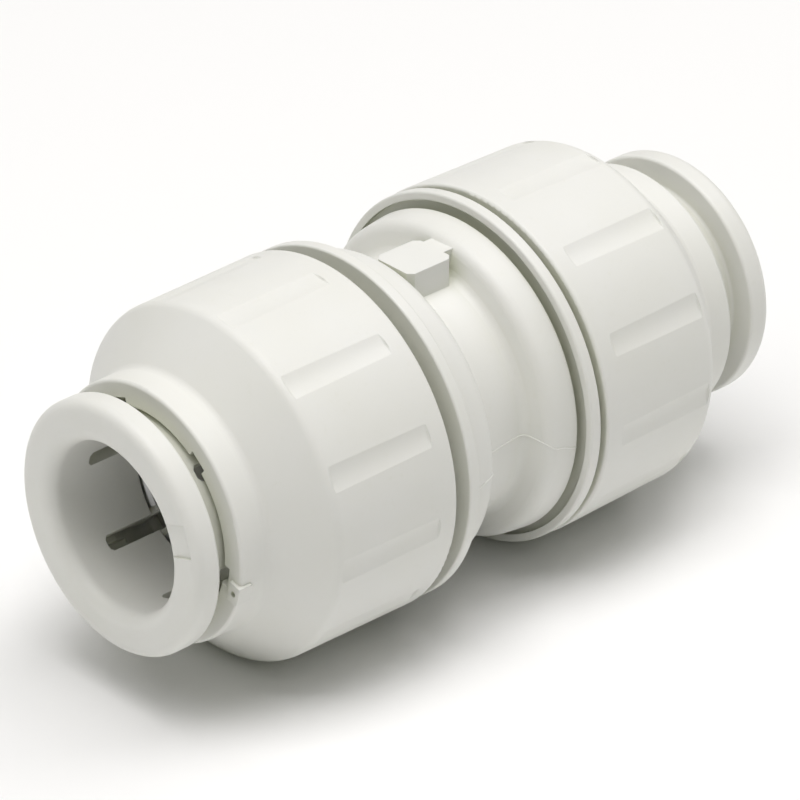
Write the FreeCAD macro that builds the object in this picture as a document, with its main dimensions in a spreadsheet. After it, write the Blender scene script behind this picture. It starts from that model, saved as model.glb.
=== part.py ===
"""Straight push-fit coupler for 15 mm pipe, with twist-to-lock screw caps.

The pipe axis is X, +Z is up and the origin is on the axis, midway between the two discs of the body.
Each end is built once, pointing along +X, and the left end is the same pieces turned half round Z.
"""
import FreeCAD, Part
import math
import os
import re

import Sketcher

# alias, size in mm (or degrees, or a count), what it is
DRIVING_SIZES = [
    ("waist_radius", 12.1, "outside of the middle of the body"),
    ("waist_half", 2.7, "half length of the straight waist"),
    ("waist_hollow", 0.8, "hollow where the waist meets a bell"),
    ("bell_start", 3.25, "where the bell begins"),
    ("bell_start_radius", 14.75, "bell, waist side"),
    ("bell_end", 6.3, "where the bell ends at the groove"),
    ("bell_end_radius", 15.1, "bell, groove side"),
    ("bell_rounding", 1.2, "rounding of the bell's waist side"),
    ("groove_radius", 13.3, "bottom of the groove behind the disc"),
    ("groove_front", 7.15, "where the groove ends at the disc"),
    ("lip_radius", 15.7, "inside of the lip on the disc's waist side"),
    ("disc_back", 6.65, "disc's lip, waist side"),
    ("disc_front", 7.8, "disc, cap side"),
    ("disc_radius", 16.45, "outside of the disc"),
    ("disc_rounding", 0.2, "rounding of the disc's waist side"),
    ("body_edge_rounding", 0.2, "the body's other edges"),
    ("spigot_radius", 13.1, "threaded spigot, at the thread's root"),
    ("spigot_end", 18.5, "end of the spigot"),
    ("seat_radius", 10.2, "counterbore that holds the O-ring"),
    ("seat_floor", 13.0, "bottom of the O-ring seat"),
    ("socket_radius", 7.65, "socket for a 15 mm pipe"),
    ("socket_floor", 3.5, "pipe stop"),
    ("waterway_radius", 6.0, "bore through the pipe stop"),
    ("lead", 3.6, "thread lead"),
    ("body_thread_start", 10.4, "first turn of the body's thread"),
    ("body_thread_length", 6.2, "length of the body's thread"),
    ("body_crest_radius", 14.3, "crest of the body's thread"),
    ("ridge_root", 1.5, "width of a thread ridge at its root"),
    ("ridge_crest", 0.9, "width of a thread ridge at its crest"),
    ("ridge_bed", 0.15, "how far a ridge is let into its wall"),
    ("lug_root", 9.5, "height where the lug starts inside the waist wall"),
    ("lug_top", 14.2, "height of the lug's flat top"),
    ("lug_left", -2.8, "left end of the lug"),
    ("lug_right", 2.2, "right end of the lug's block"),
    ("lug_near", -3.6, "-Y side of the lug"),
    ("lug_far", 1.0, "+Y side of the lug"),
    ("neck_end", 6.1, "end of the neck that joins the lug to the right bell"),
    ("neck_near", -2.4, "-Y side of the neck"),
    ("neck_far", 0.2, "+Y side of the neck"),
    ("lug_corner", 0.5, "bevel of the lug's upright corners"),
    ("cap_radius", 16.55, "outside of the screw cap at its rear edge"),
    ("cap_back", 8.5, "rear edge of the locked cap"),
    ("cap_front_radius", 16.35, "outside of the cap at its shoulder, less the mould's draft"),
    ("cap_shoulder", 21.7, "where the cap's grip meets its cone"),
    ("nose_start", 25.8, "where the cone meets the nose"),
    ("nose_radius", 11.9, "outside of the nose"),
    ("nose_front", 28.7, "front face of the nose"),
    ("nose_hole_radius", 9.6, "hole that the collet passes through"),
    ("shoulder_rounding", 1.2, "rounding of the cap's shoulder"),
    ("nose_fillet", 0.9, "hollow where the cone meets the nose"),
    ("edge_rounding", 0.3, "small moulded edges"),
    ("cap_bore_radius", 14.6, "bore of the cap at the thread's root"),
    ("cap_shelf", 20.0, "inner shoulder that pushes the spacer washer"),
    ("chamber_radius", 12.4, "chamber in front of the shoulder"),
    ("chamber_end", 21.0, "where the collet seat begins"),
    ("collet_seat_end", 26.6, "narrow end of the collet seat"),
    ("cap_thread_start", 10.3, "first turn of the cap's thread"),
    ("cap_thread_length", 7.2, "length of the cap's thread"),
    ("cap_crest_radius", 13.4, "crest of the cap's thread"),
    ("flute_count", 12, "grip flutes round the cap"),
    ("flute_start", 10.4, "rear end of a flute"),
    ("flute_end", 21.35, "front end of a flute"),
    ("flute_groove_radius", 4.6, "radius of a flute's section"),
    ("flute_depth", 0.19, "depth of a flute"),
    ("flute_fall", 0.19, "how much nearer the axis a flute's front end lies, after the draft"),
    ("flute_bevel", 0.12, "bevel at a flute's ends"),
    ("flute_spin", 8.5, "angle from the pip to the nearest flute"),
    ("notch_count", 6, "slots in the nose hole"),
    ("notch_radius", 10.35, "outer wall of a slot"),
    ("notch_width", 1.9, "width of a slot"),
    ("notch_depth", 3.4, "depth of a slot"),
    ("notch_spin", 4.3, "angle from the pip to the nearest slot"),
    ("pip_back", 27.6, "rear end of the small pip on the nose's front edge"),
    ("pip_front", 29.05, "front end of the pip, proud of the nose"),
    ("pip_half", 0.95, "half width of the pip"),
    ("pip_root", 10.85, "inner side of the pip, over the pipe axis"),
    ("pip_top", 12.15, "outer side of the pip"),
    ("pip_dimple_radius", 0.28, "radius of the dimple in the pip"),
    ("pip_dimple_depth", 0.35, "depth of the dimple"),
    ("collet_bore_radius", 7.75, "bore of the collet"),
    ("tube_radius", 9.2, "outside of the collet's tube"),
    ("head_back", 22.9, "pipe-stop end of the fingers"),
    ("head_back_radius", 10.8, "a finger's head at its pipe-stop end"),
    ("head_radius", 11.1, "widest part of a finger's head"),
    ("head_wide", 23.1, "where the head's cone begins"),
    ("head_narrow", 25.9, "where the head's cone ends"),
    ("head_narrow_radius", 9.7, "narrow end of the head's cone"),
    ("flange_back", 31.6, "collet flange, nose side"),
    ("flange_front", 34.1, "collet flange, pipe side"),
    ("flange_radius", 11.6, "outside of the collet flange"),
    ("flange_rounding", 1.0, "rounding of the flange's rim"),
    ("mouth_rounding", 1.35, "lead-in at the mouth"),
    ("slot_count", 6, "slots between the fingers"),
    ("slot_width", 1.5, "width of a finger slot"),
    ("slot_end", 29.7, "closed end of a finger slot"),
    ("slot_taper", 0.3, "length over which the closed end narrows"),
    ("slot_spin", 27, "angle from the recess in the flange to the nearest slot"),
    ("recess_half", 1.5, "half width of the shallow recess in the flange's face"),
    ("recess_radius", 10.8, "outer edge of the recess, which opens into the mouth"),
    ("recess_depth", 0.25, "depth of the recess"),
    ("tooth_tip_radius", 7.4, "tip of a grip tooth"),
    ("tooth_back_radius", 9.3, "embedded edge of a grip tooth"),
    ("tooth_tip", 23.6, "axial place of a tooth's tip"),
    ("tooth_slant", 0.8, "how far a tooth leans towards the pipe stop"),
    ("tooth_gauge", 0.5, "thickness of the tooth strip"),
    ("tooth_edge", 0.15, "thickness of a tooth at its tip"),
    ("tooth_sweep", 40, "angle that one tooth covers"),
    ("bed_mouth_radius", 7.1, "where a tooth's bed is widest, inside the collet's bore"),
    ("bed_mouth_back", 23.32, "mouth of the bed, pipe-stop side"),
    ("bed_mouth_front", 24.06, "mouth of the bed, cap side"),
    ("bed_slack", 0.1, "how much wider than the strip the bed's blind end is, each side"),
    ("bed_clearance", 0.04, "how much deeper than the strip the bed is"),
    ("washer_bore_radius", 7.8, "bore of the spacer washer"),
    ("sleeve_radius", 10.0, "washer sleeve in the O-ring seat"),
    ("sleeve_end", 15.05, "washer sleeve, O-ring side, when locked"),
    ("washer_flange_radius", 13.2, "outside of the washer's flange"),
    ("washer_flange_back", 18.75, "washer flange, spigot side, when locked"),
    ("washer_flange_front", 19.95, "washer flange, cap side, when locked"),
    ("washer_rounding", 0.25, "edges of the washer"),
    ("o_ring_bore_radius", 7.45, "inside of the O-ring"),
    ("o_ring_section", 2.6, "thickness of the relaxed O-ring"),
    ("o_ring_squeezed", 2.0, "axial thickness of the compressed O-ring"),
    ("o_ring_bulge", 0.1, "how much wider the compressed O-ring is"),
    ("o_ring_corner", 0.8, "rounding of the compressed O-ring's section"),
    ("overcut", 1.0, "how far a cut runs past the piece that it cuts"),
]

TOUCH = 1e-4            # mm: two places nearer than this are the same
SLIVER = 0.01           # mm3: a cut that takes away less than this has missed
UNLOCK_TURN = 90.0      # degrees that a cap turns from locked to free
TOOTH_SPIN = 27.0       # degrees from +Y to the first finger of a collet as it is drawn
CLOCK = {               # degrees that each piece is turned about its own +X, before it is set on its end
    ("left", "cap"): -104.5,
    ("right", "cap"): 176.5,
    ("left", "collet"): -71.5,
    ("right", "collet"): -35.0,
}

doc = FreeCAD.newDocument("PushFitCoupler")
sheet = doc.addObject("Spreadsheet::Sheet", "Sizes")
for row, (alias, size, meaning) in enumerate(DRIVING_SIZES, start=1):
    sheet.set(f"A{row}", alias)
    sheet.set(f"B{row}", str(size))
    sheet.set(f"C{row}", meaning)
    sheet.setAlias(f"B{row}", alias)
doc.recompute()

SIZE = {alias: float(size) for alias, size, meaning in DRIVING_SIZES}
UNLOCK_ADVANCE = SIZE["lead"] * UNLOCK_TURN / 360.0


def bound(formula):
    """A formula over the sheet's aliases, such as cap_radius - 2, as an expression."""
    return re.sub(r"\b[a-z]\w*\b(?!\()", r"Sizes.\g<0>", formula)


def number(formula):
    """The present value of such a formula."""
    return float(sheet.evalExpression(bound(formula)))


def origin_feature(body, role):
    """One of a body's own origin planes or axes."""
    return next(item for item in body.Origin.OriginFeatures if item.Role == role)


def new_body(name):
    body = doc.addObject("PartDesign::Body", name)
    body.Label = name
    return body


def new_sketch(body, name, plane="XY_Plane", offset="0", spin="0"):
    """An empty sketch on an origin plane, set off along its normal and then turned about X."""
    sketch = body.newObject("Sketcher::SketchObject", name)
    sketch.AttachmentSupport = [(origin_feature(body, plane), "")]
    sketch.MapMode = "FlatFace"
    if plane == "YZ_Plane":
        axis = FreeCAD.Vector(0, 0, 1)
        base = ("0", "0", offset)
    else:
        axis = FreeCAD.Vector(1, 0, 0)
        base = ("0", f"-({offset}) * sin({spin})", f"({offset}) * cos({spin})")
    place = FreeCAD.Vector(*(number(formula) for formula in base))
    sketch.AttachmentOffset = FreeCAD.Placement(place, FreeCAD.Rotation(axis, number(spin)))
    sketch.setExpression("AttachmentOffset.Base.y", bound(base[1]))
    sketch.setExpression("AttachmentOffset.Base.z", bound(base[2]))
    if spin != "0":
        sketch.setExpression("AttachmentOffset.Rotation.Angle", bound(spin))
    return sketch


def outline(sketch, corners):
    """A closed outline of straight runs, with both coordinates of each corner bound to the sheet."""
    points = [FreeCAD.Vector(number(across), number(up), 0) for across, up in corners]
    count = len(points)
    for index, point in enumerate(points):
        sketch.addGeometry(Part.LineSegment(point, points[(index + 1) % count]), False)
    for index in range(count):
        following = (index + 1) % count
        sketch.addConstraint(Sketcher.Constraint("Coincident", index, 2, following, 1))
    for index, formulas in enumerate(corners):
        place = (points[index].x, points[index].y)
        for kind, formula, value in zip(("DistanceX", "DistanceY"), formulas, place):
            constraint = sketch.addConstraint(Sketcher.Constraint(kind, index, 1, value))
            sketch.setExpression(f"Constraints[{constraint}]", bound(formula))
    return sketch


def turned(body, name, corners, kind="PartDesign::Revolution", sweep=None):
    """A solid (or a cut) turned round X from an outline of (distance along X, radius)."""
    sketch = outline(new_sketch(body, name + "Outline"), corners)
    feature = body.newObject(kind, name)
    feature.Profile = sketch
    feature.ReferenceAxis = (sketch, ["H_Axis"])
    feature.Angle = 360
    if sweep is not None:
        feature.Midplane = True
        feature.setExpression("Angle", bound(sweep))
    return feature


def rounded_where(body, name, base, radius, wanted, expected):
    """Rounds the edges of the base feature that pass a test, and checks how many there are."""
    doc.recompute()
    edges = [f"Edge{index}" for index, edge in enumerate(base.Shape.Edges, start=1) if wanted(edge)]
    if len(edges) != expected:
        raise RuntimeError(f"{name}: found {len(edges)} of {expected} edges")
    fillet = body.newObject("PartDesign::Fillet", name)
    fillet.Base = (base, edges)
    fillet.setExpression("Radius", bound(radius))
    return fillet


def rounded(body, name, base, rings, radius):
    """Rounds the circular edges at each (distance along X, radius) of the base feature."""
    places = [(number(along), number(across)) for along, across in rings]

    def on_a_ring(edge):
        if not isinstance(edge.Curve, Part.Circle):
            return False
        here = (edge.Curve.Center.x, edge.Curve.Radius)
        return any(math.dist(here, place) < TOUCH for place in places)

    return rounded_where(body, name, base, radius, on_a_ring, len(rings))


def repeated(body, name, feature, count, axis="X_Axis"):
    """Copies of a feature round one of the body's axes."""
    doc.recompute()
    pattern = body.newObject("PartDesign::PolarPattern", name)
    pattern.Originals = [feature]
    pattern.Axis = (origin_feature(body, axis), [""])
    pattern.Angle = 360
    if isinstance(count, str):
        pattern.setExpression("Occurrences", bound(count))
    else:
        pattern.Occurrences = count
    body.Tip = pattern
    return pattern


def thread_ridge(body, name, start, wall, crest, inward, length):
    """A right-handed helical ridge on a wall, from its start along +X."""
    bed = f"{wall} + ridge_bed" if inward else f"{wall} - ridge_bed"
    sketch = outline(new_sketch(body, name + "Section"), [
        (f"{start} - ridge_root / 2", bed),
        (f"{start} + ridge_root / 2", bed),
        (f"{start} + ridge_crest / 2", crest),
        (f"{start} - ridge_crest / 2", crest),
    ])
    helix = body.newObject("PartDesign::AdditiveHelix", name)
    helix.Profile = sketch
    helix.ReferenceAxis = (sketch, ["H_Axis"])
    helix.Mode = "pitch-height-angle"
    helix.setExpression("Pitch", bound("lead"))
    helix.setExpression("Height", bound(length))
    helix.Angle = 0
    helix.LeftHanded = False
    helix.Reversed = False
    return helix


def must_shrink(before, feature):
    """A cut that points away from the solid removes nothing, so its volume is compared."""
    doc.recompute()
    if not feature.Shape.Volume < before - SLIVER:
        raise RuntimeError(f"{feature.Name} cut nothing")


def make_coupler_body():
    """Waist, two bells and discs, and a threaded spigot at each end."""
    body = new_body("body")
    outer = [
        ("waist_half", "waist_radius"),
        ("bell_start", "bell_start_radius"),
        ("bell_end", "bell_end_radius"),
        ("bell_end", "groove_radius"),
        ("groove_front", "groove_radius"),
        ("groove_front", "lip_radius"),
        ("disc_back", "lip_radius"),
        ("disc_back", "disc_radius"),
        ("disc_front", "disc_radius"),
        ("disc_front", "spigot_radius"),
        ("spigot_end", "spigot_radius"),
    ]
    inner = [
        ("spigot_end", "seat_radius"),
        ("seat_floor", "seat_radius"),
        ("seat_floor", "socket_radius"),
        ("socket_floor", "socket_radius"),
        ("socket_floor", "waterway_radius"),
    ]
    half = outer + inner
    other_half = [(f"-({along})", across) for along, across in half]
    shell = turned(body, "Shell", half + list(reversed(other_half)))

    def both(rings):
        return rings + [(f"-({along})", across) for along, across in rings]

    waist = rounded(body, "WaistHollow", shell, both([("waist_half", "waist_radius")]), "waist_hollow")
    bells = both([("bell_start", "bell_start_radius")])
    bell = rounded(body, "BellRounding", waist, bells, "bell_rounding")
    rim = rounded(body, "DiscRounding", bell, both([("disc_back", "disc_radius")]), "disc_rounding")
    rounded(body, "SmallEdges", rim, both([
        ("bell_end", "bell_end_radius"),
        ("disc_front", "disc_radius"),
        ("spigot_end", "spigot_radius"),
        ("spigot_end", "seat_radius"),
    ]), "body_edge_rounding")
    doc.recompute()
    thread = thread_ridge(body, "Thread", "body_thread_start", "spigot_radius", "body_crest_radius",
                          False, "body_thread_length")
    repeated(body, "BothThreads", thread, 2, "Z_Axis")
    doc.recompute()

    lug = body.newObject("PartDesign::Pad", "Lug")
    lug.Profile = outline(new_sketch(body, "LugOutline", offset="lug_root"), [
        ("lug_left + lug_corner", "lug_near"),
        ("lug_right - lug_corner", "lug_near"),
        ("lug_right", "lug_near + lug_corner"),
        ("lug_right", "neck_near"),
        ("neck_end", "neck_near"),
        ("neck_end", "neck_far"),
        ("lug_right", "neck_far"),
        ("lug_right", "lug_far - lug_corner"),
        ("lug_right - lug_corner", "lug_far"),
        ("lug_left + lug_corner", "lug_far"),
        ("lug_left", "lug_far - lug_corner"),
        ("lug_left", "lug_near + lug_corner"),
    ])
    lug.setExpression("Length", bound("lug_top - lug_root"))
    body.Tip = lug
    return body


def make_screw_cap(name):
    """Fluted cap with an inner thread, a shelf for the washer and a cone that closes the collet."""
    body = new_body(name)
    shell = turned(body, "Shell", [
        ("cap_back", "cap_radius"),
        ("cap_shoulder", "cap_front_radius"),
        ("nose_start", "nose_radius"),
        ("nose_front", "nose_radius"),
        ("nose_front", "nose_hole_radius"),
        ("collet_seat_end", "nose_hole_radius"),
        ("chamber_end", "chamber_radius"),
        ("cap_shelf", "chamber_radius"),
        ("cap_shelf", "cap_bore_radius"),
        ("cap_back", "cap_bore_radius"),
    ])
    shoulder = rounded(body, "ShoulderRounding", shell, [
        ("cap_shoulder", "cap_front_radius"),
    ], "shoulder_rounding")
    hollow = rounded(body, "NoseHollow", shoulder, [("nose_start", "nose_radius")], "nose_fillet")
    edges = rounded(body, "SmallEdges", hollow, [
        ("nose_front", "nose_radius"),
        ("nose_front", "nose_hole_radius"),
        ("cap_back", "cap_radius"),
        ("cap_back", "cap_bore_radius"),
    ], "edge_rounding")
    doc.recompute()
    plain_volume = edges.Shape.Volume

    flute = body.newObject("PartDesign::Groove", "Flute")
    flute.Profile = outline(
        new_sketch(body, "FluteOutline",
                   offset="cap_radius - flute_depth + flute_groove_radius", spin="flute_spin"), [
            ("flute_start", "0"),
            ("flute_end", "0"),
            ("flute_end", "flute_groove_radius + flute_fall - flute_bevel"),
            ("flute_end - flute_bevel", "flute_groove_radius + flute_fall"),
            ("flute_start + flute_bevel", "flute_groove_radius"),
            ("flute_start", "flute_groove_radius - flute_bevel"),
        ])
    flute.ReferenceAxis = (flute.Profile[0], ["H_Axis"])
    flute.Angle = 360
    must_shrink(plain_volume, flute)
    flutes = repeated(body, "Flutes", flute, "flute_count")
    doc.recompute()

    notch = body.newObject("PartDesign::Pocket", "NoseSlot")
    notch.Profile = outline(new_sketch(body, "NoseSlotOutline", "YZ_Plane", "nose_front", "notch_spin"), [
        ("-notch_width / 2", "nose_hole_radius - overcut"),
        ("notch_width / 2", "nose_hole_radius - overcut"),
        ("notch_width / 2", "notch_radius"),
        ("-notch_width / 2", "notch_radius"),
    ])
    notch.setExpression("Length", bound("notch_depth"))
    must_shrink(flutes.Shape.Volume, notch)
    repeated(body, "NoseSlots", notch, "notch_count")
    doc.recompute()

    pip = body.newObject("PartDesign::Pad", "NosePip")
    pip.Profile = outline(new_sketch(body, "NosePipOutline", "YZ_Plane", "pip_back"), [
        ("-pip_half", "pip_root"),
        ("pip_half", "pip_root"),
        ("pip_half", "pip_top"),
        ("-pip_half", "pip_top"),
    ])
    pip.setExpression("Length", bound("pip_front - pip_back"))
    doc.recompute()
    dimple = body.newObject("PartDesign::Pocket", "PipDimple")
    spot = new_sketch(body, "PipDimpleOutline", "YZ_Plane", "pip_front")
    middle = "(pip_root + pip_top) / 2"
    centre = FreeCAD.Vector(0, number(middle), 0)
    spot.addGeometry(Part.Circle(centre, FreeCAD.Vector(0, 0, 1), SIZE["pip_dimple_radius"]), False)
    for kind, formula in (("DistanceX", "0"), ("DistanceY", middle)):
        constraint = spot.addConstraint(Sketcher.Constraint(kind, 0, 3, number(formula)))
        spot.setExpression(f"Constraints[{constraint}]", bound(formula))
    constraint = spot.addConstraint(Sketcher.Constraint("Radius", 0, SIZE["pip_dimple_radius"]))
    spot.setExpression(f"Constraints[{constraint}]", bound("pip_dimple_radius"))
    dimple.Profile = spot
    dimple.setExpression("Length", bound("pip_dimple_depth"))
    must_shrink(pip.Shape.Volume, dimple)
    thread = thread_ridge(body, "Thread", "cap_thread_start", "cap_bore_radius", "cap_crest_radius",
                          True, "cap_thread_length")
    body.Tip = thread
    return body


def make_collet(name):
    """Flanged tube whose inner end is slit into fingers with conical heads."""
    body = new_body(name)
    shell = turned(body, "Shell", [
        ("head_back", "collet_bore_radius"),
        ("head_back", "head_back_radius"),
        ("head_wide", "head_radius"),
        ("head_narrow", "head_narrow_radius"),
        ("head_narrow", "tube_radius"),
        ("flange_back", "tube_radius"),
        ("flange_back", "flange_radius"),
        ("flange_front", "flange_radius"),
        ("flange_front", "collet_bore_radius"),
    ])
    rim = rounded(body, "RimRounding", shell, [("flange_front", "flange_radius")], "flange_rounding")
    mouth = rounded(body, "MouthRounding", rim, [("flange_front", "collet_bore_radius")], "mouth_rounding")
    edges = rounded(body, "SmallEdges", mouth, [
        ("flange_back", "flange_radius"),
        ("flange_back", "tube_radius"),
    ], "edge_rounding")
    doc.recompute()
    plain_volume = edges.Shape.Volume

    bed = body.newObject("PartDesign::Groove", "ToothBed")
    bed.Profile = outline(new_sketch(body, "ToothBedOutline"), [
        ("bed_mouth_back", "bed_mouth_radius"),
        ("bed_mouth_front", "bed_mouth_radius"),
        ("tooth_tip + tooth_slant + tooth_gauge + bed_slack", "tooth_back_radius + bed_clearance"),
        ("tooth_tip + tooth_slant - bed_slack", "tooth_back_radius + bed_clearance"),
    ])
    bed.ReferenceAxis = (bed.Profile[0], ["H_Axis"])
    bed.Angle = 360
    must_shrink(plain_volume, bed)
    bed_volume = bed.Shape.Volume

    slot = body.newObject("PartDesign::Pocket", "FingerSlot")
    slot.Profile = outline(new_sketch(body, "FingerSlotOutline", spin="slot_spin"), [
        ("head_back - overcut", "-slot_width / 2"),
        ("slot_end - slot_taper", "-slot_width / 2"),
        ("slot_end", "-slot_width / 4"),
        ("slot_end", "slot_width / 4"),
        ("slot_end - slot_taper", "slot_width / 2"),
        ("head_back - overcut", "slot_width / 2"),
    ])
    slot.setExpression("Length", bound("head_radius + overcut"))
    slot.Reversed = True
    must_shrink(bed_volume, slot)
    slots = repeated(body, "FingerSlots", slot, "slot_count")
    doc.recompute()

    recess = body.newObject("PartDesign::Pocket", "FaceRecess")
    recess.Profile = outline(new_sketch(body, "FaceRecessOutline", "YZ_Plane", "flange_front"), [
        ("-recess_half", "collet_bore_radius - overcut"),
        ("recess_half", "collet_bore_radius - overcut"),
        ("recess_half", "recess_radius"),
        ("-recess_half", "recess_radius"),
    ])
    recess.setExpression("Length", bound("recess_depth"))
    must_shrink(slots.Shape.Volume, recess)
    body.Tip = recess
    return body


def make_grip_tooth(name):
    """A slanted strip of spring steel that bites the pipe when it is pulled."""
    body = new_body(name)
    turned(body, "Strip", [
        ("tooth_tip", "tooth_tip_radius"),
        ("tooth_tip + tooth_edge", "tooth_tip_radius"),
        ("tooth_tip + tooth_slant + tooth_gauge", "tooth_back_radius"),
        ("tooth_tip + tooth_slant", "tooth_back_radius"),
    ], sweep="tooth_sweep")
    return body


def make_spacer_washer(name):
    """Top-hat washer between the O-ring and the cap's shelf."""
    body = new_body(name)
    shell = turned(body, "Shell", [
        ("sleeve_end", "washer_bore_radius"),
        ("sleeve_end", "sleeve_radius"),
        ("washer_flange_back", "sleeve_radius"),
        ("washer_flange_back", "washer_flange_radius"),
        ("washer_flange_front", "washer_flange_radius"),
        ("washer_flange_front", "washer_bore_radius"),
    ])
    rounded(body, "SmallEdges", shell, [
        ("sleeve_end", "washer_bore_radius"),
        ("sleeve_end", "sleeve_radius"),
        ("washer_flange_back", "washer_flange_radius"),
        ("washer_flange_front", "washer_flange_radius"),
        ("washer_flange_front", "washer_bore_radius"),
    ], "washer_rounding")
    return body


def make_relaxed_o_ring(name):
    """Round-section ring, not yet squeezed, against the floor of its seat."""
    ring = doc.addObject("Part::Torus", name)
    ring.Label = name
    ring.setExpression("Radius1", bound("o_ring_bore_radius + o_ring_section / 2"))
    ring.setExpression("Radius2", bound("o_ring_section / 2"))
    return ring


def make_squeezed_o_ring(name):
    """The same ring with its section flattened between the seat's floor and the washer."""
    body = new_body(name)
    shell = turned(body, "Ring", [
        ("seat_floor", "o_ring_bore_radius"),
        ("seat_floor + o_ring_squeezed", "o_ring_bore_radius"),
        ("seat_floor + o_ring_squeezed", "o_ring_bore_radius + o_ring_section + o_ring_bulge"),
        ("seat_floor", "o_ring_bore_radius + o_ring_section + o_ring_bulge"),
    ])
    rounded(body, "Bulge", shell, [
        ("seat_floor", "o_ring_bore_radius"),
        ("seat_floor + o_ring_squeezed", "o_ring_bore_radius"),
        ("seat_floor + o_ring_squeezed", "o_ring_bore_radius + o_ring_section + o_ring_bulge"),
        ("seat_floor", "o_ring_bore_radius + o_ring_section + o_ring_bulge"),
    ], "o_ring_corner")
    return body


def place(item, side, spin=0.0, advance=0.0):
    """Turns a piece about the pipe axis, moves it outwards and, on the left, turns it half round Z."""
    half_turn = 180.0 if side == "left" else 0.0
    about_z = FreeCAD.Rotation(FreeCAD.Vector(0, 0, 1), half_turn)
    about_x = FreeCAD.Rotation(FreeCAD.Vector(1, 0, 0), spin)
    end = FreeCAD.Placement(FreeCAD.Vector(0, 0, 0), about_z)
    along = FreeCAD.Placement(FreeCAD.Vector(advance, 0, 0), about_x)
    item.Placement = end * along


def make_all():
    """Every piece, set where it sits with the left cap free and the right cap locked."""
    pieces = [make_coupler_body()]
    for side in ("left", "right"):
        free_play = UNLOCK_ADVANCE if side == "left" else 0.0
        cap = make_screw_cap(f"{side}_screw_cap")
        place(cap, side, CLOCK[side, "cap"], free_play)
        washer = make_spacer_washer(f"{side}_spacer_washer")
        place(washer, side, 0.0, free_play)
        collet = make_collet(f"{side}_collet")
        place(collet, side, CLOCK[side, "collet"])
        pieces += [cap, washer, collet]
        for finger in range(int(SIZE["slot_count"])):
            tooth = make_grip_tooth(f"{side}_grip_tooth_{finger + 1}")
            place(tooth, side, CLOCK[side, "collet"] + TOOTH_SPIN + finger * 360.0 / SIZE["slot_count"])
            pieces.append(tooth)
    squeezed = make_squeezed_o_ring("right_o_ring")
    place(squeezed, "right")
    relaxed = make_relaxed_o_ring("left_o_ring")
    centre = FreeCAD.Vector(-SIZE["seat_floor"] - SIZE["o_ring_section"] / 2, 0, 0)
    relaxed.Placement = FreeCAD.Placement(centre, FreeCAD.Rotation(FreeCAD.Vector(0, 1, 0), 90))
    return pieces + [squeezed, relaxed]


def check(pieces):
    """Stops before anything is written if a feature failed or a piece isn't one sound solid."""
    failed = [item.Name for item in doc.Objects if {"Invalid", "Error"} & set(item.State)]
    if failed:
        raise RuntimeError(f"failed features: {failed}")
    for piece in pieces:
        if piece.Shape.isNull() or not piece.Shape.isValid() or len(piece.Shape.Solids) != 1:
            raise RuntimeError(f"{piece.Label} isn't one sound solid")


PIECES = make_all()
doc.recompute()
check(PIECES)
os.makedirs("parts", exist_ok=True)
for piece in PIECES:
    piece.Shape.exportStep(f"parts/{piece.Label}.step")
    print(f"{piece.Label}: {piece.Shape.Volume:.1f} mm3")
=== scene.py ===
"""Looks for a straight twist-to-lock pipe coupler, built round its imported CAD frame."""
import math

import bmesh
import bpy
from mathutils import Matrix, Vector
from mathutils.bvhtree import BVHTree


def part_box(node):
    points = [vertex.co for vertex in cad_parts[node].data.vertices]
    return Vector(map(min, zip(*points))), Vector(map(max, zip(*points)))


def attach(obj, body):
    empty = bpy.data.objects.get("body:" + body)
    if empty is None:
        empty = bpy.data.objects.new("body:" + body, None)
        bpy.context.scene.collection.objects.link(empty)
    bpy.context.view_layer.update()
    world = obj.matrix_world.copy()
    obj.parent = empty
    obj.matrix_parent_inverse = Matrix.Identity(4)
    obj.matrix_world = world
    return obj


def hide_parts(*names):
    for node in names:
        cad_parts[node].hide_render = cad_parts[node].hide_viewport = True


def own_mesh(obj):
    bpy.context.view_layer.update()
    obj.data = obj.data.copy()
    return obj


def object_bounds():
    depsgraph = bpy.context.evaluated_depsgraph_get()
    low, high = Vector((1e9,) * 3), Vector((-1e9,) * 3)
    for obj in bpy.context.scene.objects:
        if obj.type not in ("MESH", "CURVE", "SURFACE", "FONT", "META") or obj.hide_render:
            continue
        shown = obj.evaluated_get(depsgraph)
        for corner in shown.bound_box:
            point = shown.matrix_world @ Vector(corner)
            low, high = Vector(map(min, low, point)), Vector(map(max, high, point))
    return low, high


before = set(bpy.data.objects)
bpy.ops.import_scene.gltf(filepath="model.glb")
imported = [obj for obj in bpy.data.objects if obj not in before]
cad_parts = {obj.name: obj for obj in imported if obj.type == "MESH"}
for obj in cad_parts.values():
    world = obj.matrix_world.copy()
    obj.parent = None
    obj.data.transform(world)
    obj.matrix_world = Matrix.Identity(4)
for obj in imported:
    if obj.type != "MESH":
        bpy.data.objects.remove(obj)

MM = 0.001
CAD_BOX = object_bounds()

# moulded plastic
FITTING_WHITE = (0.80, 0.80, 0.765)
FLASH_WHITE = (0.88, 0.88, 0.85)    # thin flash lets light through, so it is paler
WASHER_WHITE = (0.74, 0.74, 0.70)
RUBBER_BLACK = (0.02, 0.02, 0.021)
EDGE_SOFTNESS = 0.12 * MM           # how far the moulded edges are rounded in the shading
# painted shade: crevices and gaps are coloured darker and olive-grey to stand in for the shade that falls
# there
PAINTED_SHADE_REACH = 2.3 * MM            # how far off a wall the painted crevice shade still reaches
PAINTED_CREVICE_SHADE_TINT = (0.86, 0.875, 0.78)
FLOW_TINT = (0.985, 0.985, 0.97)
SPECK_TINT = (0.985, 0.985, 0.975)
WORN_TINT = (1.03, 1.03, 1.04)
WORN_POLISH = -0.08                 # change in roughness along worn edges
GRAIN_DEPTH = 0.02 * MM
GRAIN_STRENGTH = 0.09
# noise scales, per metre
FLOW_SCALE = 90.0
SPECK_SCALE = 1500.0
SATIN_SCALE = 420.0
GRAIN_SCALE = 5200.0

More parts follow.
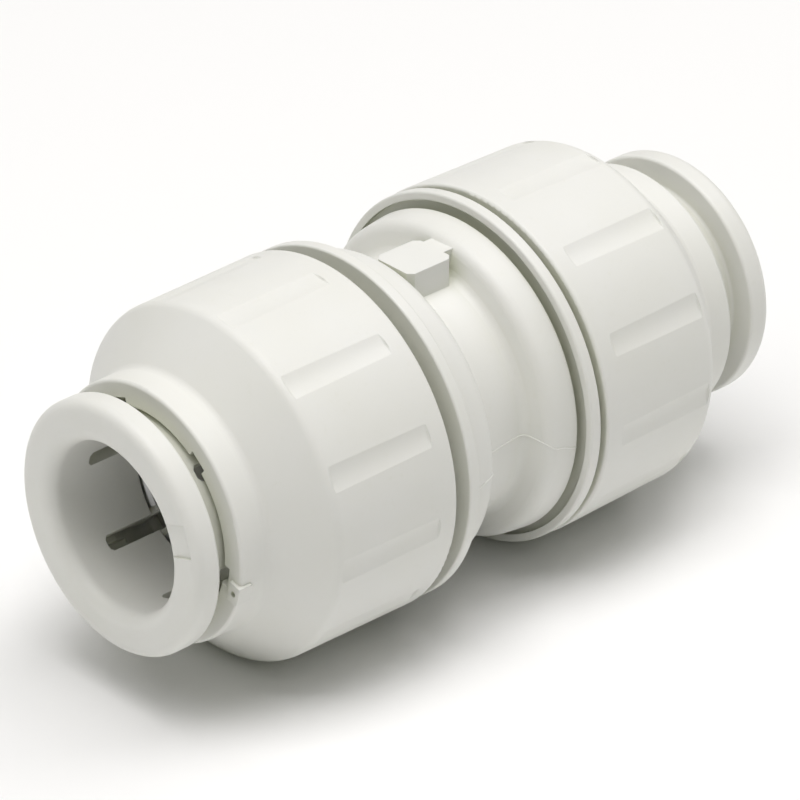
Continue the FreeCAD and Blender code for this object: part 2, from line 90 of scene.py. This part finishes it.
# moulding flash: (mm along the axis, degrees round from the parting plane), end to end
FLASH_STATIONS = ((-6.2, 4.0), (-3.4, 2.0), (-2.3, 1.5), (2.4, -0.3), (4.2, 3.5), (6.2, 5.5))
FLASH_WIDTH = 0.2 * MM
FLASH_HEIGHT = 0.075 * MM
FLASH_STEP = 0.08 * MM

# camera
AZIMUTH = -42.88            # degrees, 0 looks along +Y
ELEVATION = 29.78           # degrees above the horizon
DISTANCE = 445.6 * MM
LENS = 228.9                # mm on a 36 mm sensor
SHIFT = (-0.0075, -0.0079)  # the object sits a little right of and above the middle

# light: a dim, faintly green sky, and three soft boxes that are a little warmer
SKY_STRENGTH = 0.20
SKY_COLOUR = (0.965, 0.99, 0.915)
BOX_COLOUR = (1.0, 0.98, 0.985)
BOX_REACH = 0.8             # metres from the object to each soft box
BOX_SIDE = 0.5
SOFT_BOXES = (              # name, degrees round from the camera, degrees up, watts
    ("overhead", 0.0, 85.0, 3.85),
    ("right_box", 120.0, 60.0, 1.85),
    ("left_box", 300.0, 60.0, 1.5),
)


def socket(node, name, value):
    node.inputs[name].default_value = value


def moulded_plastic(name, colour, roughness, grain=1.0):
    """Matte moulded plastic: spark-eroded grain, faint flow marks, worn paler edges, and painted shade that
    colours the crevices darker and greyer.
    """
    material = bpy.data.materials.new(name)
    material.use_nodes = True
    tree = material.node_tree
    nodes, links = tree.nodes, tree.links
    shader = nodes["Principled BSDF"]
    place = nodes.new("ShaderNodeTexCoord")
    geometry = nodes.new("ShaderNodeNewGeometry")

    def noise(scale, detail, rough=0.5):
        texture = nodes.new("ShaderNodeTexNoise")
        socket(texture, "Scale", scale)
        socket(texture, "Detail", detail)
        socket(texture, "Roughness", rough)
        links.new(place.outputs["Object"], texture.inputs["Vector"])
        return texture.outputs["Fac"]

    def spread(source, was, now):
        scale = nodes.new("ShaderNodeMapRange")
        socket(scale, "From Min", was[0])
        socket(scale, "From Max", was[1])
        socket(scale, "To Min", now[0])
        socket(scale, "To Max", now[1])
        links.new(source, scale.inputs["Value"])
        return scale.outputs["Result"]

    def tinted(below, share, factors):
        """The colour below, multiplied by the factors where share is 1."""
        mix = nodes.new("ShaderNodeMix")
        mix.data_type = "RGBA"
        mix.blend_type = "MULTIPLY"
        links.new(share, mix.inputs[0])
        if isinstance(below, tuple):
            mix.inputs[6].default_value = (*below, 1.0)
        else:
            links.new(below, mix.inputs[6])
        mix.inputs[7].default_value = (*factors, 1.0)
        return mix.outputs[2]

    bevel = nodes.new("ShaderNodeBevel")
    bevel.samples = 6
    socket(bevel, "Radius", EDGE_SOFTNESS)
    bend = nodes.new("ShaderNodeVectorMath")
    bend.operation = "DOT_PRODUCT"
    links.new(bevel.outputs["Normal"], bend.inputs[0])
    links.new(geometry.outputs["Normal"], bend.inputs[1])
    worn = spread(bend.outputs["Value"], (0.995, 0.90), (0.0, 1.0))

    # painted shade: an occlusion mask darkens and tints the colour in crevices and gaps, where shade falls
    shade_occlusion = nodes.new("ShaderNodeAmbientOcclusion")
    shade_occlusion.samples = 8
    socket(shade_occlusion, "Distance", PAINTED_SHADE_REACH)
    painted_crevice_shade = spread(shade_occlusion.outputs["AO"], (0.85, 0.15), (0.0, 1.0))

    flow = spread(noise(FLOW_SCALE, 3.0), (0.35, 0.65), (0.0, 1.0))
    speck = spread(noise(SPECK_SCALE, 2.0), (0.62, 0.78), (0.0, 1.0))
    tone = tinted(colour, flow, FLOW_TINT)
    tone = tinted(tone, speck, SPECK_TINT)
    tone = tinted(tone, worn, WORN_TINT)
    tone = tinted(tone, painted_crevice_shade, PAINTED_CREVICE_SHADE_TINT)
    links.new(tone, shader.inputs["Base Color"])

    satin = spread(noise(SATIN_SCALE, 2.0), (0.3, 0.7), (roughness - 0.05, roughness + 0.06))
    smoother = nodes.new("ShaderNodeMath")
    smoother.operation = "MULTIPLY_ADD"
    links.new(worn, smoother.inputs[0])
    smoother.inputs[1].default_value = WORN_POLISH
    links.new(satin, smoother.inputs[2])
    links.new(smoother.outputs[0], shader.inputs["Roughness"])

    bump = nodes.new("ShaderNodeBump")
    socket(bump, "Strength", GRAIN_STRENGTH * grain)
    socket(bump, "Distance", GRAIN_DEPTH)
    links.new(noise(GRAIN_SCALE, 2.0, 0.6), bump.inputs["Height"])
    links.new(bevel.outputs["Normal"], bump.inputs["Normal"])
    links.new(bump.outputs["Normal"], shader.inputs["Normal"])

    socket(shader, "IOR", 1.47)
    socket(shader, "Specular IOR Level", 0.4)
    socket(shader, "Subsurface Weight", 0.1)
    socket(shader, "Subsurface Radius", (1.0, 0.95, 0.85))
    socket(shader, "Subsurface Scale", 0.5 * MM)
    return material


def seal_rubber():
    """Black rubber: the plastic's grain made coarser, with no light passing through."""
    material = moulded_plastic("seal_rubber", RUBBER_BLACK, 0.55, 1.4)
    socket(material.node_tree.nodes["Principled BSDF"], "Subsurface Weight", 0.0)
    return material


def spring_steel():
    """Rolled stainless strip with fine lines along the strip."""
    material = bpy.data.materials.new("tooth_steel")
    material.use_nodes = True
    nodes, links = material.node_tree.nodes, material.node_tree.links
    shader = nodes["Principled BSDF"]
    socket(shader, "Metallic", 1.0)
    place = nodes.new("ShaderNodeTexCoord")
    stretch = nodes.new("ShaderNodeMapping")
    socket(stretch, "Scale", (6000.0, 300.0, 300.0))
    links.new(place.outputs["Object"], stretch.inputs["Vector"])
    lines = nodes.new("ShaderNodeTexNoise")
    socket(lines, "Scale", 1.0)
    socket(lines, "Detail", 3.0)
    links.new(stretch.outputs["Vector"], lines.inputs["Vector"])
    ramp = nodes.new("ShaderNodeValToRGB")
    ramp.color_ramp.elements[0].color = (0.42, 0.42, 0.43, 1.0)
    ramp.color_ramp.elements[1].color = (0.62, 0.62, 0.61, 1.0)
    links.new(lines.outputs["Fac"], ramp.inputs["Fac"])
    links.new(ramp.outputs["Color"], shader.inputs["Base Color"])
    rough = nodes.new("ShaderNodeMapRange")
    socket(rough, "To Min", 0.22)
    socket(rough, "To Max", 0.4)
    links.new(lines.outputs["Fac"], rough.inputs["Value"])
    links.new(rough.outputs["Result"], shader.inputs["Roughness"])
    return material


def dress(nodes, material):
    """Gives carried-over CAD nodes their finished material."""
    for name in nodes:
        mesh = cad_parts[name].data
        mesh.materials.clear()
        mesh.materials.append(material)


def lay_floor():
    """A plain pale floor under the two caps."""
    half = 3.0
    level = CAD_BOX[0][2] - 0.02 * MM
    mesh = bpy.data.meshes.new("floor")
    corners = [(-half, -half, level), (half, -half, level), (half, half, level), (-half, half, level)]
    mesh.from_pydata(corners, [], [(0, 1, 2, 3)])
    floor = bpy.data.objects.new("floor", mesh)
    bpy.context.scene.collection.objects.link(floor)
    material = bpy.data.materials.new("floor")
    material.use_nodes = True
    shader = material.node_tree.nodes["Principled BSDF"]
    socket(shader, "Base Color", (0.93, 0.93, 0.925, 1.0))
    socket(shader, "Roughness", 0.9)
    mesh.materials.append(material)


def towards(azimuth, elevation):
    """The direction from the object to a viewer or a light."""
    a, e = math.radians(azimuth), math.radians(elevation)
    return Vector((math.sin(a) * math.cos(e), -math.cos(a) * math.cos(e), math.sin(e)))


def soft_box(name, place, power):
    light = bpy.data.lights.new(name, "AREA")
    light.shape = "SQUARE"
    light.size = BOX_SIDE
    light.energy = power
    light.color = BOX_COLOUR
    lamp = bpy.data.objects.new(name, light)
    lamp.location = place
    lamp.rotation_euler = (-place).to_track_quat("-Z", "Y").to_euler()
    bpy.context.scene.collection.objects.link(lamp)


def light_studio():
    world = bpy.data.worlds.new("studio")
    bpy.context.scene.world = world
    world.use_nodes = True
    sky = world.node_tree.nodes["Background"]
    socket(sky, "Color", (*SKY_COLOUR, 1.0))
    socket(sky, "Strength", SKY_STRENGTH)
    for name, round_from_camera, up, power in SOFT_BOXES:
        soft_box(name, towards(AZIMUTH + round_from_camera, up) * BOX_REACH, power)


def aim_camera():
    camera = bpy.data.cameras.new("camera")
    camera.lens = LENS
    camera.sensor_width = 36.0
    camera.shift_x, camera.shift_y = SHIFT
    camera.clip_start, camera.clip_end = 0.01, 20.0
    holder = bpy.data.objects.new("camera", camera)
    back = towards(AZIMUTH, ELEVATION)
    holder.location = back * DISTANCE
    holder.rotation_euler = (-back).to_track_quat("-Z", "Y").to_euler()
    bpy.context.scene.collection.objects.link(holder)
    bpy.context.scene.camera = holder


def link(name, mesh):
    piece = bpy.data.objects.new(name, mesh)
    bpy.context.scene.collection.objects.link(piece)
    return piece


def flash_line(name, stations):
    """A fine ridge of moulding flash on the body, through each (mm along the axis, degrees round it).

    0 degrees is +Y and 90 is +Z. The ridge is laid on the body's own surface, found by casting rays inwards.
    """
    surface = BVHTree.FromObject(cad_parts["body"], bpy.context.evaluated_depsgraph_get())
    reach = 2.0 * (CAD_BOX[1][2] - CAD_BOX[0][2])
    count = int((stations[-1][0] - stations[0][0]) * MM / FLASH_STEP) + 1
    shell = bmesh.new()
    rows = []
    for index in range(count + 1):
        along = stations[0][0] + (stations[-1][0] - stations[0][0]) * index / count
        for (x0, turn0), (x1, turn1) in zip(stations, stations[1:]):
            if x0 <= along <= x1 + 1e-9:
                share = (along - x0) / (x1 - x0)
                share = share * share * (3.0 - 2.0 * share)
                turn = math.radians(turn0 + (turn1 - turn0) * share)
                break
        out = Vector((0.0, math.cos(turn), math.sin(turn)))
        axis_point = Vector((along * MM, 0.0, 0.0))
        foot, normal, _, _ = surface.ray_cast(axis_point + out * reach, -out)
        side = normal.cross(Vector((1.0, 0.0, 0.0))).normalized()
        sunk, shoulder = -0.6 * FLASH_HEIGHT, 0.75 * FLASH_HEIGHT
        rows.append([shell.verts.new(foot + side * across * FLASH_WIDTH + normal * lift) for across, lift in
                     ((-0.5, sunk), (-0.22, shoulder), (0.0, FLASH_HEIGHT), (0.22, shoulder), (0.5, sunk))])
    for near, far in zip(rows, rows[1:]):
        for k in range(5):
            following = (k + 1) % 5
            shell.faces.new((near[k], near[following], far[following], far[k]))
    shell.faces.new(rows[0])
    shell.faces.new(list(reversed(rows[-1])))
    bmesh.ops.recalc_face_normals(shell, faces=shell.faces)
    mesh = bpy.data.meshes.new(name)
    shell.to_mesh(mesh)
    shell.free()
    for face in mesh.polygons:
        face.use_smooth = True
    return link(name, mesh)


def soft_o_ring():
    """The relaxed left O-ring, which its washer squeezes as the cap is locked."""
    low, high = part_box("left_o_ring")
    section = (high[0] - low[0]) / 2.0
    ring = (high[2] - low[2]) / 2.0 - section
    middle = (high[0] + low[0]) / 2.0
    round_steps, section_steps = 128, 32
    shell = bmesh.new()
    rows = []
    for i in range(round_steps):
        turn = 2.0 * math.pi * i / round_steps
        row = []
        for k in range(section_steps):
            angle = 2.0 * math.pi * k / section_steps
            radius = ring + section * math.cos(angle)
            row.append(shell.verts.new((middle + section * math.sin(angle),
                                        radius * math.cos(turn), radius * math.sin(turn))))
        rows.append(row)
    for i, near in enumerate(rows):
        far = rows[(i + 1) % round_steps]
        for k in range(section_steps):
            following = (k + 1) % section_steps
            shell.faces.new((near[k], near[following], far[following], far[k]))
    bmesh.ops.recalc_face_normals(shell, faces=shell.faces)
    mesh = bpy.data.meshes.new("left_o_ring_soft")
    shell.to_mesh(mesh)
    shell.free()
    for face in mesh.polygons:
        face.use_smooth = True
    piece = link("left_o_ring_soft", mesh)
    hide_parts("left_o_ring")
    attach(piece, "root")
    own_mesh(piece)
    return piece


ENDS = ("left", "right")
aim_camera()
light_studio()
lay_floor()
bpy.context.scene.view_settings.view_transform = "Standard"

BODY_PLASTIC = moulded_plastic("body_plastic", FITTING_WHITE, 0.42)
FLASH_PLASTIC = moulded_plastic("flash_plastic", FLASH_WHITE, 0.40)
RUBBER = seal_rubber()
dress(["body"], BODY_PLASTIC)
dress([f"{end}_screw_cap" for end in ENDS], moulded_plastic("cap_plastic", FITTING_WHITE, 0.45))
dress([f"{end}_collet" for end in ENDS], moulded_plastic("collet_plastic", FITTING_WHITE, 0.40))
dress([f"{end}_spacer_washer" for end in ENDS], moulded_plastic("washer_plastic", WASHER_WHITE, 0.5))
dress(["right_o_ring"], RUBBER)
dress([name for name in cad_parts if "grip_tooth" in name], spring_steel())

for side, turn in (("near", 180.0), ("far", 0.0)):
    flash = flash_line(f"parting_flash_{side}", [(along, turn + extra) for along, extra in FLASH_STATIONS])
    flash.data.materials.append(FLASH_PLASTIC)
    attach(flash, "root")

soft_o_ring().data.materials.append(RUBBER)
